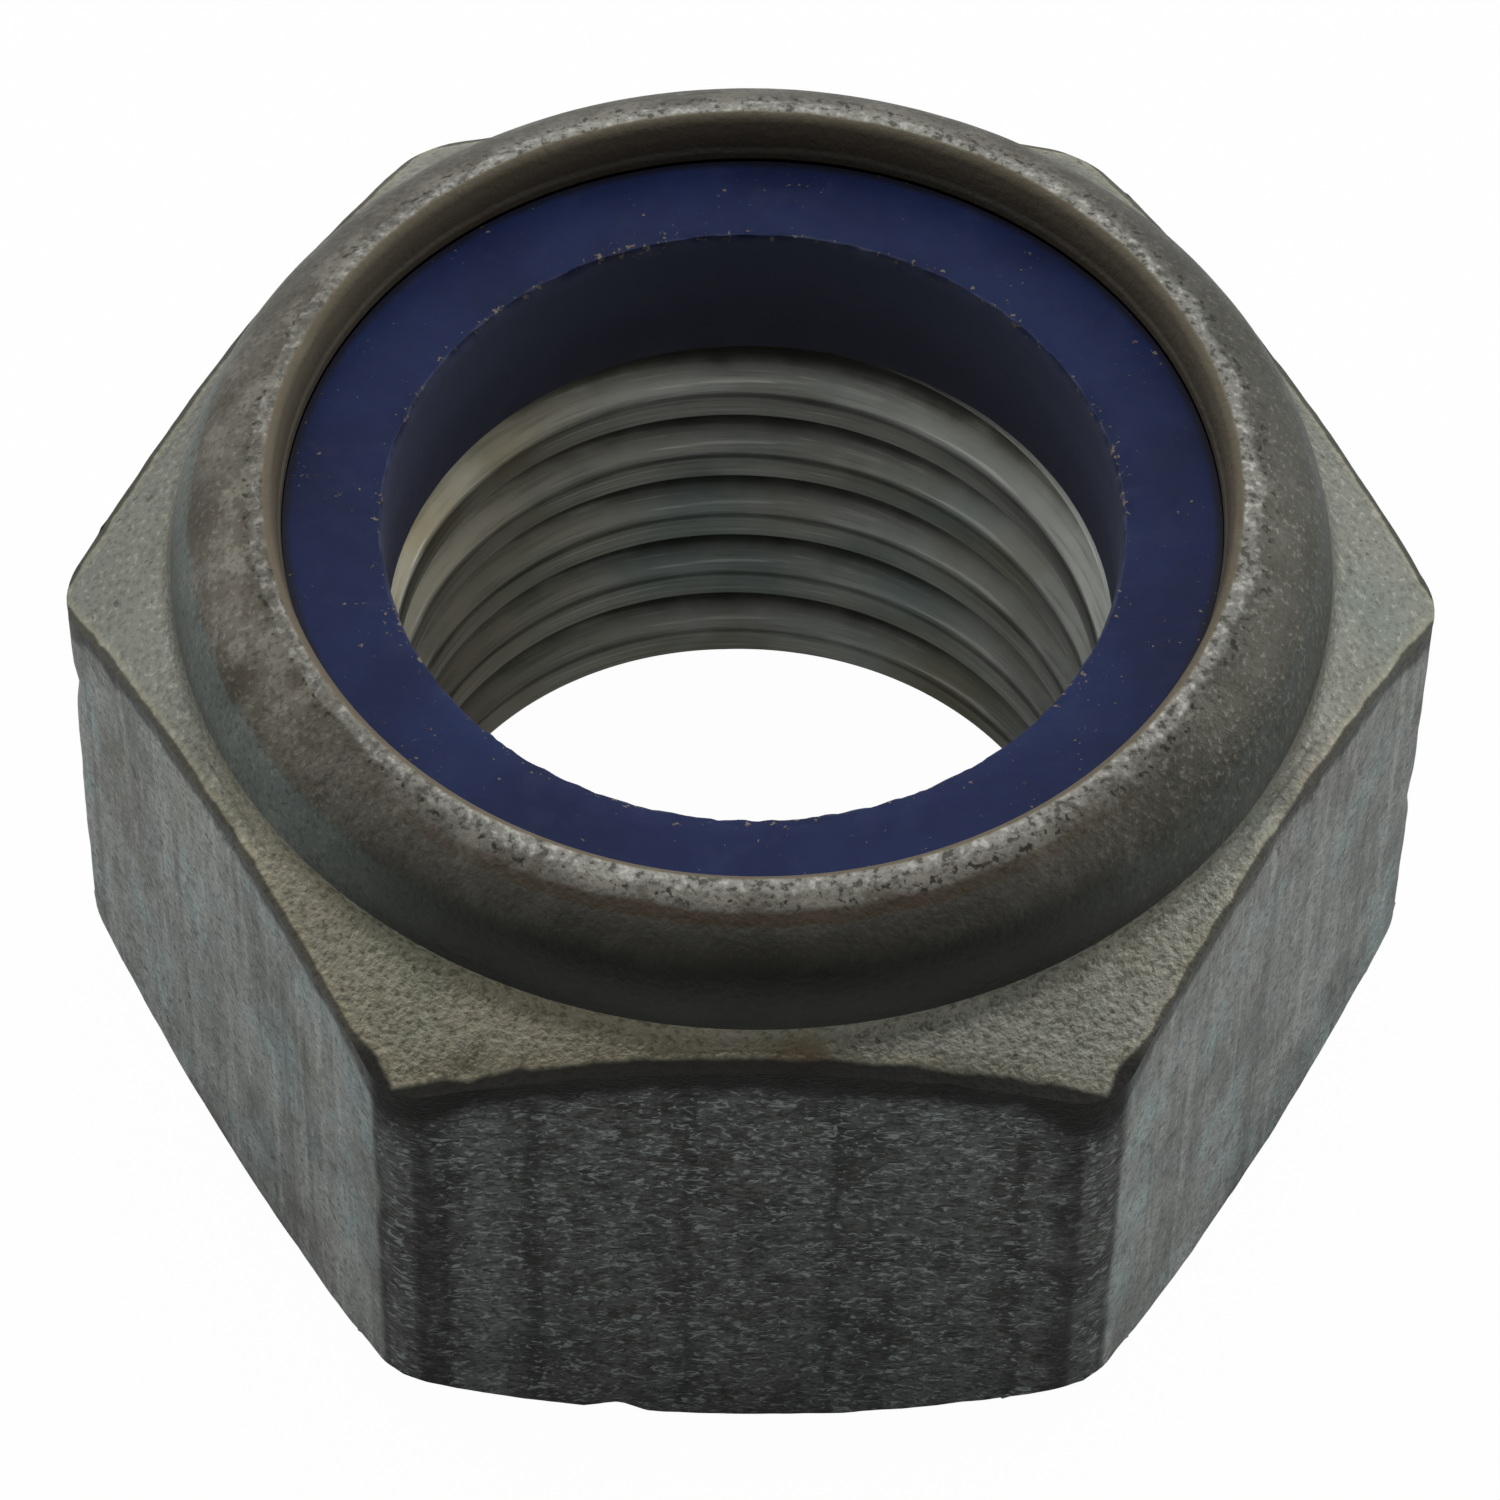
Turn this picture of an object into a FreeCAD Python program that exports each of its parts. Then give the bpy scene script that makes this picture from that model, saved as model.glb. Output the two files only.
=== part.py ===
import FreeCAD, Part
import math
import os

# Nylon insert lock nut with an M20 coarse thread, standing on its bearing face.
# The axis is +Z, the bearing face is z = 0 and two corners of the hexagon lie on X.
# Millimetres and degrees throughout.

# Hexagon
WALL_AT_FLATS = 5.0  # thread's diameter to a flat, which makes the nut 30 mm across flats
HEX_HEIGHT = 15.85  # bearing face to the upper edge at the middle of a flat
CORNER_ROUND = 1.65  # radius of the six upright corners
TOP_CONE_ANGLE = 31.0  # fall of the shoulder from the collar to the flats
BEARING_SETBACK = 0.8  # bearing face's rim to the flats
BOTTOM_CHAMFER_ANGLE = 35.0

# Thread
THREAD_DIAMETER = 20.0
THREAD_PITCH = 2.5
THREAD_ANGLE = 60.0
HOLE_ALLOWANCE = 0.4  # the punched hole's diameter over the basic minor diameter
THREAD_START_ANGLE = 45.0  # where each turn of the groove begins, anticlockwise from +X
CREST_HEIGHT_AT_BACK = 6.5  # middle of one crest on the +Y side of the bore
COUNTERSINK_ANGLE = 120.0
ENTRY_OVERSIZE = 1.6  # mouth of the lower countersink over the thread's diameter
EXIT_OVERSIZE = 0.8  # mouth of the upper countersink over the thread's diameter

# Collar, rolled inwards over the insert
COLLAR_SETBACK = 0.7  # collar's side to the flats
COLLAR_WALL = 1.5
COLLAR_STRAIGHT = 0.28  # collar's foot to the height of the bend's centre
LIP_BEND_RADIUS = 3.05  # outside of the bend
LIP_BEND_ANGLE = 80.0
LIP_NOSE_BEVEL = 0.2  # broken edge between the bend and the lip's end face

# Recess and nylon insert
RECESS_DROP = 2.25  # hexagon's upper edge down to the recess floor
INSERT_GRIP = 1.9  # thread's diameter less the insert's bore
INSERT_GAP = 0.03  # insert to the collar's wall and to the underside of the lip

# Sizes that follow
MAJOR_RADIUS = THREAD_DIAMETER / 2
HALF_FLATS = MAJOR_RADIUS + WALL_AT_FLATS
BEARING_RADIUS = HALF_FLATS - BEARING_SETBACK
COLLAR_RADIUS = HALF_FLATS - COLLAR_SETBACK
RECESS_RADIUS = COLLAR_RADIUS - COLLAR_WALL
RECESS_FLOOR = HEX_HEIGHT - RECESS_DROP
SHARP_DEPTH = THREAD_PITCH / 2 / math.tan(math.radians(THREAD_ANGLE / 2))
BASIC_MINOR_RADIUS = MAJOR_RADIUS - 5 / 8 * SHARP_DEPTH
ROOT_RADIUS = MAJOR_RADIUS + SHARP_DEPTH / 8  # the flanks run on to a sharp root
HOLE_RADIUS = BASIC_MINOR_RADIUS + HOLE_ALLOWANCE / 2
ENTRY_RADIUS = (THREAD_DIAMETER + ENTRY_OVERSIZE) / 2
EXIT_RADIUS = (THREAD_DIAMETER + EXIT_OVERSIZE) / 2
INSERT_BORE_RADIUS = (THREAD_DIAMETER - INSERT_GRIP) / 2
CORNER_REACH = HALF_FLATS / math.cos(math.radians(30))
BEND_AXIS_RADIUS = COLLAR_RADIUS - LIP_BEND_RADIUS
INNER_BEND_RADIUS = LIP_BEND_RADIUS - COLLAR_WALL


def shoulder_height(radius):
    """Height of the shoulder's cone at a radius."""
    return HEX_HEIGHT - (radius - HALF_FLATS) * math.tan(math.radians(TOP_CONE_ANGLE))


COLLAR_BASE = shoulder_height(COLLAR_RADIUS)
BEND_HEIGHT = COLLAR_BASE + COLLAR_STRAIGHT


def point(radius, height):
    """A point of an axial section, which lies in the XZ plane."""
    return FreeCAD.Vector(radius, 0, height)


def on_bend(radius, angle):
    """A point on the collar's bend, at an angle from upright towards the outside."""
    turn = math.radians(angle)
    return point(BEND_AXIS_RADIUS + radius * math.sin(turn), BEND_HEIGHT + radius * math.cos(turn))


def straight(points):
    """Straight edges from point to point."""
    return [Part.makeLine(a, b) for a, b in zip(points, points[1:])]


def revolved(edges):
    """The solid of revolution about Z of a closed section."""
    face = Part.Face(Part.Wire(edges))
    return face.revolve(FreeCAD.Vector(0, 0, 0), FreeCAD.Vector(0, 0, 1), 360)


def hexagon_bar(height):
    """A six-sided bar with rounded corners, one flat towards -Y."""
    reach = (HALF_FLATS - CORNER_ROUND) / math.cos(math.radians(30))
    edges = []
    for side in range(6):
        corner = 60 * side
        turn = math.radians(corner)
        centre = FreeCAD.Vector(reach * math.cos(turn), reach * math.sin(turn), 0)
        arc = []
        for angle in (corner - 30, corner, corner + 30):
            spoke = math.radians(angle)
            arc.append(centre + CORNER_ROUND * FreeCAD.Vector(math.cos(spoke), math.sin(spoke), 0))
        if edges:
            edges.append(Part.makeLine(edges[-1].lastVertex().Point, arc[0]))
        edges.append(Part.Arc(*arc).toShape())
    edges.append(Part.makeLine(edges[-1].lastVertex().Point, edges[0].firstVertex().Point))
    face = Part.Face(Part.Wire(edges))
    return face.extrude(FreeCAD.Vector(0, 0, height))


def nut_section():
    """Edges of the nut's axial section, as if the hexagon were a round disc."""
    rim = CORNER_REACH + CORNER_ROUND
    end = 90 - LIP_BEND_ANGLE
    nose = end + math.degrees(LIP_NOSE_BEVEL / LIP_BEND_RADIUS)
    sink = math.tan(math.radians(COUNTERSINK_ANGLE / 2))
    outside = [
        point(ENTRY_RADIUS, 0),
        point(BEARING_RADIUS, 0),
        point(rim, (rim - BEARING_RADIUS) * math.tan(math.radians(BOTTOM_CHAMFER_ANGLE))),
        point(rim, shoulder_height(rim)),
        point(COLLAR_RADIUS, COLLAR_BASE),
    ]
    # the rolled collar is a run of short cones, with their corners on the bend
    cones = 5
    for corner in range(1, cones + 1):
        outside.append(on_bend(LIP_BEND_RADIUS, 90 + (nose - 90) * corner / cones))
    inside = [
        on_bend(LIP_BEND_RADIUS - LIP_NOSE_BEVEL, end),
        on_bend(INNER_BEND_RADIUS, end),
        point(RECESS_RADIUS, BEND_HEIGHT),
        point(RECESS_RADIUS, RECESS_FLOOR),
        point(EXIT_RADIUS, RECESS_FLOOR),
        point(HOLE_RADIUS, RECESS_FLOOR - (EXIT_RADIUS - HOLE_RADIUS) / sink),
        point(HOLE_RADIUS, (ENTRY_RADIUS - HOLE_RADIUS) / sink),
        point(ENTRY_RADIUS, 0),
    ]
    return straight(outside + inside)


def thread_groove():
    """The helical groove of the thread, joined turn by turn, which runs out at both ends of the bore."""
    mouth = HOLE_RADIUS - HOLE_ALLOWANCE
    half_width = (ROOT_RADIUS - mouth) * math.tan(math.radians(THREAD_ANGLE / 2))
    section = straight([
        point(mouth, -half_width),
        point(ROOT_RADIUS, 0),
        point(mouth, half_width),
        point(mouth, -half_width),
    ])
    helix = Part.Wire(Part.makeHelix(THREAD_PITCH, THREAD_PITCH, ROOT_RADIUS))
    turn = helix.makePipeShell([Part.Wire(section)], True, True)
    axis = FreeCAD.Vector(0, 0, 1)
    turn.rotate(FreeCAD.Vector(0, 0, 0), axis, THREAD_START_ANGLE)
    # on +Y a groove lies half a pitch from a crest, and the helix rises from its start angle to there
    height = CREST_HEIGHT_AT_BACK + THREAD_PITCH / 2 - THREAD_PITCH * (90 - THREAD_START_ANGLE) / 360
    while height > -THREAD_PITCH / 2:
        height -= THREAD_PITCH
    turns = []
    while height < RECESS_FLOOR + THREAD_PITCH / 2:
        turns.append(turn.translated(axis * height))
        height += THREAD_PITCH
    return turns[0].fuse(turns[1:])


def make_nut_body():
    """Steel nut: hexagon, collar with its rolled lip, recess, bore and thread in one piece."""
    bar = hexagon_bar(BEND_HEIGHT + LIP_BEND_RADIUS)
    return bar.common(revolved(nut_section())).cut(thread_groove())


def make_nylon_insert():
    """Plain nylon ring on the recess floor, held down by the lip on its upper outer edge."""
    outer = RECESS_RADIUS - INSERT_GAP
    shoulder = on_bend(INNER_BEND_RADIUS - INSERT_GAP, 90 - LIP_BEND_ANGLE)
    section = [
        shoulder,
        point(INSERT_BORE_RADIUS, shoulder.z),
        point(INSERT_BORE_RADIUS, RECESS_FLOOR),
        point(outer, RECESS_FLOOR),
        point(outer, BEND_HEIGHT),
        shoulder,
    ]
    return revolved(straight(section))


def main():
    """Write one STEP file for each piece."""
    os.makedirs("parts", exist_ok=True)
    make_nut_body().exportStep("parts/nut_body.step")
    make_nylon_insert().exportStep("parts/nylon_insert.step")


main()
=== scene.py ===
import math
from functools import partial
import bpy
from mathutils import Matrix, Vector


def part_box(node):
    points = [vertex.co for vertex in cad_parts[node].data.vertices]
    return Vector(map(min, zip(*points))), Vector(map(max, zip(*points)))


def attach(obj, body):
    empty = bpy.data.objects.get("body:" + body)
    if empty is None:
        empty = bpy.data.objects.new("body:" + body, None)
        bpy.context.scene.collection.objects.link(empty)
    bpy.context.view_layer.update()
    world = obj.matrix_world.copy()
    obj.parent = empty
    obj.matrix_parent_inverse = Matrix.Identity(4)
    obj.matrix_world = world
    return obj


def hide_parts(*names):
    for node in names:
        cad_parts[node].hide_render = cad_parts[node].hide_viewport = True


bl_info = {
    "name": "Nylon insert lock nut",
    "version": (1, 0, 0),
    "blender": (4, 5, 0),
    "location": "3D View > Sidebar > Lock Nut",
    "description": "Models a plated steel lock nut with a nylon ring held under its rolled collar",
    "category": "Add Mesh",
}

from types import SimpleNamespace

import bmesh
import bpy
from bpy.props import FloatProperty, FloatVectorProperty, PointerProperty, StringProperty
from mathutils import Matrix, Vector

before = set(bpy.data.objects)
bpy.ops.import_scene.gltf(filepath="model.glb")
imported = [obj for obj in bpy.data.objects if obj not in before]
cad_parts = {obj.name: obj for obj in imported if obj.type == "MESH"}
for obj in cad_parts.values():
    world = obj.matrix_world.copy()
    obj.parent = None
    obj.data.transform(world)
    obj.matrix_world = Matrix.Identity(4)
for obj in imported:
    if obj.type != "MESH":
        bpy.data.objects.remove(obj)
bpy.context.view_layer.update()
NUT_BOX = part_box("nut_body")
MILLIMETRES = 1000
UP = (0, 0, 1)
SMOOTH = {"interpolation_type": "SMOOTHSTEP"}


def length(name, description, metres):
    """A length in the sidebar."""
    return FloatProperty(name=name, description=description, default=metres, unit="LENGTH")


def angle(name, description, degrees):
    """An angle in the sidebar."""
    return FloatProperty(name=name, description=description, default=math.radians(degrees), subtype="ANGLE")


class LockNutSizes(bpy.types.PropertyGroup):
    """Sizes of the nut and its ring."""

    across_flats: length(
        "Across flats", "Distance between two opposite flats", NUT_BOX[1][1] - NUT_BOX[0][1])
    hex_height: length("Hexagon height", "Bearing face to the middle of a flat's upper edge", 0.01585)
    corner_round: length("Corner round", "Radius of the six upright corners", 0.00165)
    edge_wear: length("Edge wear", "Width worn off the flats' upper edges", 0.00036)
    rim_wear: length("Rim wear", "Width worn off the flats' lower edges", 0.0005)
    top_cone: angle("Shoulder fall", "Fall of the shoulder from the collar to the flats", 31)
    bearing_setback: length("Bearing setback", "Bearing face's rim to the flats", 0.0008)
    bottom_chamfer: angle("Bottom chamfer", "Rise of the chamfer round the bearing face", 35)
    collar_setback: length("Collar setback", "Collar's side to the flats", 0.0007)
    collar_wall: length("Collar wall", "Thickness of the rolled wall", 0.0015)
    collar_straight: length("Collar straight", "Collar's foot to the bend's centre", 0.00028)
    collar_foot: length("Collar foot", "Fillet between the collar and the shoulder", 0.0008)
    lip_bend: length("Lip bend", "Outside radius of the rolled lip", 0.00305)
    lip_turn: angle("Lip turn", "Angle through which the lip is rolled", 80)
    lip_nose: length("Lip nose", "Round between the bend and the lip's end face", 0.0003)
    lip_edge: length("Lip edge", "Round on the lower edge of the lip's end face", 0.0001)
    recess_drop: length("Recess drop", "Hexagon's upper edge down to the recess's floor", 0.00225)
    thread_diameter: length("Thread diameter", "Nominal diameter of the thread", 0.02)
    thread_pitch: length("Thread pitch", "Rise of the thread in one turn", 0.0025)
    hole_diameter: length("Hole diameter", "Diameter at the thread's crests", 0.017694)
    crest_height: length("Crest height", "Height of a crest's middle at the back of the bore", 0.0065)
    entry_diameter: length("Entry diameter", "Mouth of the lower countersink", 0.0216)
    exit_diameter: length("Exit diameter", "Mouth of the upper countersink", 0.0208)
    countersink: angle("Countersink", "Full angle of the countersinks", 120)
    insert_bore: length("Ring bore", "Diameter of the nylon ring's hole", 0.0181)
    insert_gap: length("Ring gap", "Ring to the collar's wall and to the underside of the lip", 0.00003)
    insert_round: length("Ring round", "Round on the ring's inner rims", 0.00012)


class LockNutStage(bpy.types.PropertyGroup):
    """Camera and light."""

    azimuth: angle("Azimuth", "Turn of the view round the nut's axis", -0.806)
    elevation: angle("Elevation", "Height of the view over the floor", 53.373)
    roll: angle("Roll", "Tilt of the picture", -1.174)
    distance: length("Distance", "Camera to the nut", 0.195065)
    aim_height: length("Aim height", "Height of the point that the view turns about", 0.009)
    slide: FloatVectorProperty(
        name="Slide", description="Nut's place in the picture, right and up", size=2,
        default=(-0.000043, 0.000306), unit="LENGTH")
    lens: FloatProperty(
        name="Lens", description="Focal length in millimetres on a sensor 36 mm wide", default=184.1)
    floor_colour: StringProperty(
        name="Floor colour", description="Colour of the floor, sRGB", default="#d4d4d1")


def linear(colour):
    """Linear colour with alpha from an sRGB hex value."""
    channels = [int(colour[place:place + 2], 16) / 255 for place in (1, 3, 5)]
    return [c / 12.92 if c <= 0.04045 else ((c + 0.055) / 1.055) ** 2.4 for c in channels] + [1]


def in_millimetres(sheet):
    """The sheet's values, its lengths in millimetres.

    The pieces are modelled at this size and brought to metres at the end, because the modelling
    tools' own tolerances suit things far larger than this nut.
    """
    values = SimpleNamespace()
    for name, kind in sheet.bl_rna.properties.items():
        if kind.type == "FLOAT":
            scale = MILLIMETRES if kind.unit == "LENGTH" else 1
            setattr(values, name, getattr(sheet, name) * scale)
    return values


def derived(sheet):
    """The sheet in millimetres, with the sizes that follow from it."""
    s = in_millimetres(sheet)
    s.half_flats = s.across_flats / 2
    s.bearing_radius = s.half_flats - s.bearing_setback
    s.collar_radius = s.half_flats - s.collar_setback
    s.recess_radius = s.collar_radius - s.collar_wall
    s.recess_floor = s.hex_height - s.recess_drop
    s.hole_radius = s.hole_diameter / 2
    s.entry_radius = s.entry_diameter / 2
    s.exit_radius = s.exit_diameter / 2
    s.corner_reach = s.half_flats / math.cos(math.radians(30))
    s.inner_bend = s.lip_bend - s.collar_wall
    s.lip_end = math.pi / 2 - s.lip_turn
    s.collar_base = s.hex_height + s.collar_setback * math.tan(s.top_cone)
    s.bend_centre = Vector((s.collar_radius - s.lip_bend, s.collar_base + s.collar_straight))
    s.sink_slope = math.tan(s.countersink / 2)

    # the foot's fillet touches the shoulder's cone and the bend
    upright = Vector((math.sin(s.top_cone), math.cos(s.top_cone)))
    downhill = Vector((upright.y, -upright.x))
    reach = s.lip_bend + s.collar_foot
    rise = (Vector((s.collar_radius, s.collar_base)) - s.bend_centre).dot(upright) + s.collar_foot
    way = upright * rise + downhill * math.sqrt(reach ** 2 - rise ** 2)
    s.foot_centre = s.bend_centre + way
    s.foot_angle = math.atan2(way.x, way.y)
    s.foot_top = swung(s.bend_centre, s.lip_bend, s.foot_angle).y
    return s


def swung(centre, radius, angle):
    """A section point at a distance from a centre, at an angle from upright towards the outside."""
    return centre + radius * Vector((math.sin(angle), math.cos(angle)))


def arc(centre, radius, start, end, step):
    """Section points round an arc, about a step apart."""
    count = max(3, round(abs(end - start) * radius / step))
    return [swung(centre, radius, start + (end - start) * place / count) for place in range(count + 1)]


def run(start, end, step):
    """Section points along a straight, about a step apart, without its ends."""
    count = max(1, round((end - start).length / step))
    return [start.lerp(end, place / count) for place in range(1, count)]


def fillet(before, corner, after, radius, step):
    """Section points that round a corner."""
    back = (before - corner).normalized()
    ahead = (after - corner).normalized()
    half = back.angle(ahead) / 2
    centre = corner + (back + ahead).normalized() * radius / math.sin(half)
    first = corner + back * radius / math.tan(half) - centre
    last = corner + ahead * radius / math.tan(half) - centre
    start = math.atan2(first.x, first.y)
    turn = math.atan2(last.x, last.y) - start
    turn = (turn + math.pi) % (2 * math.pi) - math.pi
    return arc(centre, radius, start, start + turn, step)


def outline(corners, step, curve_step):
    """Closed section through corners, each a point and the radius of its round."""
    points = []
    count = len(corners)
    for place, (corner, radius) in enumerate(corners):
        before = corners[place - 1][0]
        after = corners[(place + 1) % count][0]
        rounded = fillet(before, corner, after, radius, curve_step) if radius else [corner]
        if points:
            points += run(points[-1], rounded[0], step)
        points += rounded
    return points + run(points[-1], points[0], step)


def draw_section(name, points):
    """Add an object and draw a closed section in its XZ plane, vertex by vertex."""
    bpy.ops.object.select_all(action="DESELECT")
    bpy.ops.mesh.primitive_plane_add(size=1)
    piece = bpy.context.object
    piece.name = name
    piece.data.name = name
    bpy.ops.object.mode_set(mode="EDIT")
    bpy.ops.mesh.select_mode(type="VERT")
    bpy.ops.mesh.merge(type="CENTER")
    bpy.ops.transform.translate(value=(points[0].x, 0, points[0].y))
    for here, there in zip(points, points[1:]):
        step = there - here
        bpy.ops.mesh.extrude_region_move(TRANSFORM_OT_translate={"value": (step.x, 0, step.y)})
    bpy.ops.mesh.select_all(action="SELECT")
    mesh = bmesh.from_edit_mesh(piece.data)
    ends = [corner for corner in mesh.verts if len(corner.link_edges) == 1]
    for corner in mesh.verts:
        corner.select = corner in ends
    mesh.select_flush_mode()
    bmesh.update_edit_mesh(piece.data)
    bpy.ops.mesh.edge_face_add()
    bpy.ops.object.mode_set(mode="OBJECT")
    return piece


def spin_section(piece, steps):
    """Spin the drawn section round the nut's axis to a closed solid."""
    bpy.ops.object.mode_set(mode="EDIT")
    bpy.ops.mesh.select_all(action="SELECT")
    bpy.ops.mesh.spin(steps=steps, angle=2 * math.pi, center=(0, 0, 0), axis=UP, dupli=False)
    bpy.ops.mesh.select_all(action="SELECT")
    bpy.ops.mesh.remove_doubles(threshold=0.002)
    bpy.ops.mesh.normals_make_consistent(inside=False)
    bpy.ops.object.mode_set(mode="OBJECT")


def combine(piece, tool, operation):
    """Apply a Boolean with a tool, which is then removed."""
    cut = piece.modifiers.new(operation.title(), "BOOLEAN")
    cut.operation = operation
    cut.solver = "EXACT"
    cut.object = tool
    bpy.context.view_layer.objects.active = piece
    bpy.ops.object.modifier_apply(modifier=cut.name)
    bpy.data.objects.remove(tool)


def bring_to_metres(piece):
    """Scale the finished piece from millimetres to metres in its mesh."""
    bpy.ops.object.select_all(action="DESELECT")
    piece.select_set(True)
    bpy.context.view_layer.objects.active = piece
    piece.scale = (1 / MILLIMETRES,) * 3
    bpy.ops.object.transform_apply(location=False, rotation=False, scale=True)
    bpy.ops.object.shade_smooth_by_angle(angle=math.radians(34))


def select_where(piece, kind, test):
    """In edit mode, select only the elements of a kind for which a test holds."""
    bpy.ops.mesh.select_mode(type={"verts": "VERT", "edges": "EDGE", "faces": "FACE"}[kind])
    bpy.ops.mesh.select_all(action="DESELECT")
    mesh = bmesh.from_edit_mesh(piece.data)
    found = [element for element in getattr(mesh, kind) if test(element)]
    for element in found:
        element.select = True
    mesh.select_flush_mode()
    bmesh.update_edit_mesh(piece.data)
    return len(found)


def hex_distance(point):
    """Greatest of a point's distances from the axis, square to the six flats."""
    diagonal = abs(point.x) * math.cos(math.radians(30)) + abs(point.y) / 2
    return max(abs(point.y), diagonal)


def nut_outline(s):
    """Section of the nut, as if the hexagon were a round disc."""
    step = 0.42
    curve_step = 0.14
    bearing_round = 0.25
    rim = s.corner_reach + 1
    chamfer_rise = (rim - s.bearing_radius) * math.tan(s.bottom_chamfer)
    shoulder_fall = (rim - s.half_flats) * math.tan(s.top_cone)
    nose_lead = math.asin(s.lip_nose / (s.lip_bend - s.lip_nose))
    edge_lead = math.asin(s.lip_edge / (s.inner_bend + s.lip_edge))
    nose_centre = swung(s.bend_centre, s.lip_bend - s.lip_nose, s.lip_end + nose_lead)
    edge_centre = swung(s.bend_centre, s.inner_bend + s.lip_edge, s.lip_end + edge_lead)
    inward = s.lip_end - math.pi / 2
    rim_top = Vector((rim, s.hex_height - shoulder_fall))

    points = [Vector((s.entry_radius, 0))]
    bearing_rim = Vector((s.bearing_radius, 0))
    chamfer_top = Vector((rim, chamfer_rise))
    points += run(points[-1], bearing_rim, step)
    points += fillet(points[-1], bearing_rim, chamfer_top, bearing_round, 0.1)
    points += run(points[-1], chamfer_top, step) + [chamfer_top, rim_top]
    foot = arc(s.foot_centre, s.collar_foot, s.top_cone - math.pi, s.foot_angle - math.pi, 0.08)
    points += run(rim_top, foot[0], 0.3) + foot
    points += arc(s.bend_centre, s.lip_bend, s.foot_angle, s.lip_end + nose_lead, curve_step)[1:]
    points += arc(nose_centre, s.lip_nose, s.lip_end + nose_lead, inward, 0.06)[1:]
    edge_round = arc(edge_centre, s.lip_edge, inward, s.lip_end + edge_lead - math.pi, 0.04)
    points += run(points[-1], edge_round[0], 0.2) + edge_round
    points += arc(s.bend_centre, s.inner_bend, s.lip_end + edge_lead, math.pi / 2, 0.3)[1:]
    for radius, height in (
        (s.recess_radius, s.recess_floor),
        (s.exit_radius, s.recess_floor),
        (s.hole_radius, s.recess_floor - (s.exit_radius - s.hole_radius) / s.sink_slope),
        (s.hole_radius, (s.entry_radius - s.hole_radius) / s.sink_slope),
    ):
        points.append(Vector((radius, height)))
    return points


def add_hexagon_bar(s):
    """Six-sided bar with rounded upright corners, one flat towards -Y."""
    bpy.ops.object.select_all(action="DESELECT")
    bpy.ops.mesh.primitive_cylinder_add(
        vertices=6, radius=s.corner_reach, depth=60, rotation=(0, 0, math.radians(90)))
    bar = bpy.context.object
    bpy.ops.object.transform_apply(location=False, rotation=True, scale=False)
    bpy.ops.object.mode_set(mode="EDIT")
    select_where(bar, "edges", lambda edge: abs((edge.verts[0].co - edge.verts[1].co).z) > 1)
    bpy.ops.mesh.bevel(offset=s.corner_round * math.tan(math.radians(30)), segments=8, profile=0.5)
    bpy.ops.object.mode_set(mode="OBJECT")
    return bar


def round_hexagon_edges(piece, s):
    """Wear off the edges where the flats meet the shoulder and the bottom chamfer."""
    def upright(face):
        return abs(face.normal.z) < 0.2 and hex_distance(face.calc_center_median()) > s.half_flats - 1

    def worn(edge, upper):
        if len(edge.link_faces) != 2:
            return False
        high = sum(corner.co.z for corner in edge.verts) / 2 > s.hex_height / 2
        sides = [upright(face) for face in edge.link_faces]
        return high == upper and sides[0] != sides[1]

    bpy.ops.object.mode_set(mode="EDIT")
    for upper, width in ((True, s.edge_wear), (False, s.rim_wear)):
        select_where(piece, "edges", lambda edge: worn(edge, upper))
        bpy.ops.mesh.bevel(offset=width, segments=4, profile=0.5, clamp_overlap=True)
    bpy.ops.object.mode_set(mode="OBJECT")


def slice_flats(piece, s):
    """Divide the flats into small squares, which take the wear and the dents."""
    spacing = 0.5
    count = int(s.corner_reach / spacing)
    bpy.ops.object.mode_set(mode="EDIT")

    def outside(face):
        return abs(face.normal.z) < 0.5 and hex_distance(face.calc_center_median()) > s.half_flats - 0.6

    select_where(piece, "faces", outside)
    bpy.ops.mesh.hide(unselected=True)
    for level in range(1, int(s.hex_height / spacing) + 1):
        bpy.ops.mesh.select_all(action="SELECT")
        bpy.ops.mesh.bisect(plane_co=(0, 0, level * spacing), plane_no=UP, threshold=0.001)
    bpy.ops.mesh.reveal(select=False)
    for angle in (0, 60, 120):
        turn = math.radians(angle)
        along = Vector((math.cos(turn), math.sin(turn), 0))
        square = Vector((-along.y, along.x, 0))
        select_where(piece, "faces", lambda face: outside(face) and abs(face.normal.dot(square)) > 0.99)
        bpy.ops.mesh.hide(unselected=True)
        for place in range(-count, count + 1):
            bpy.ops.mesh.select_all(action="SELECT")
            bpy.ops.mesh.bisect(plane_co=along * place * spacing, plane_no=along, threshold=0.001)
        bpy.ops.mesh.reveal(select=False)
    bpy.ops.object.mode_set(mode="OBJECT")


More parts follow.
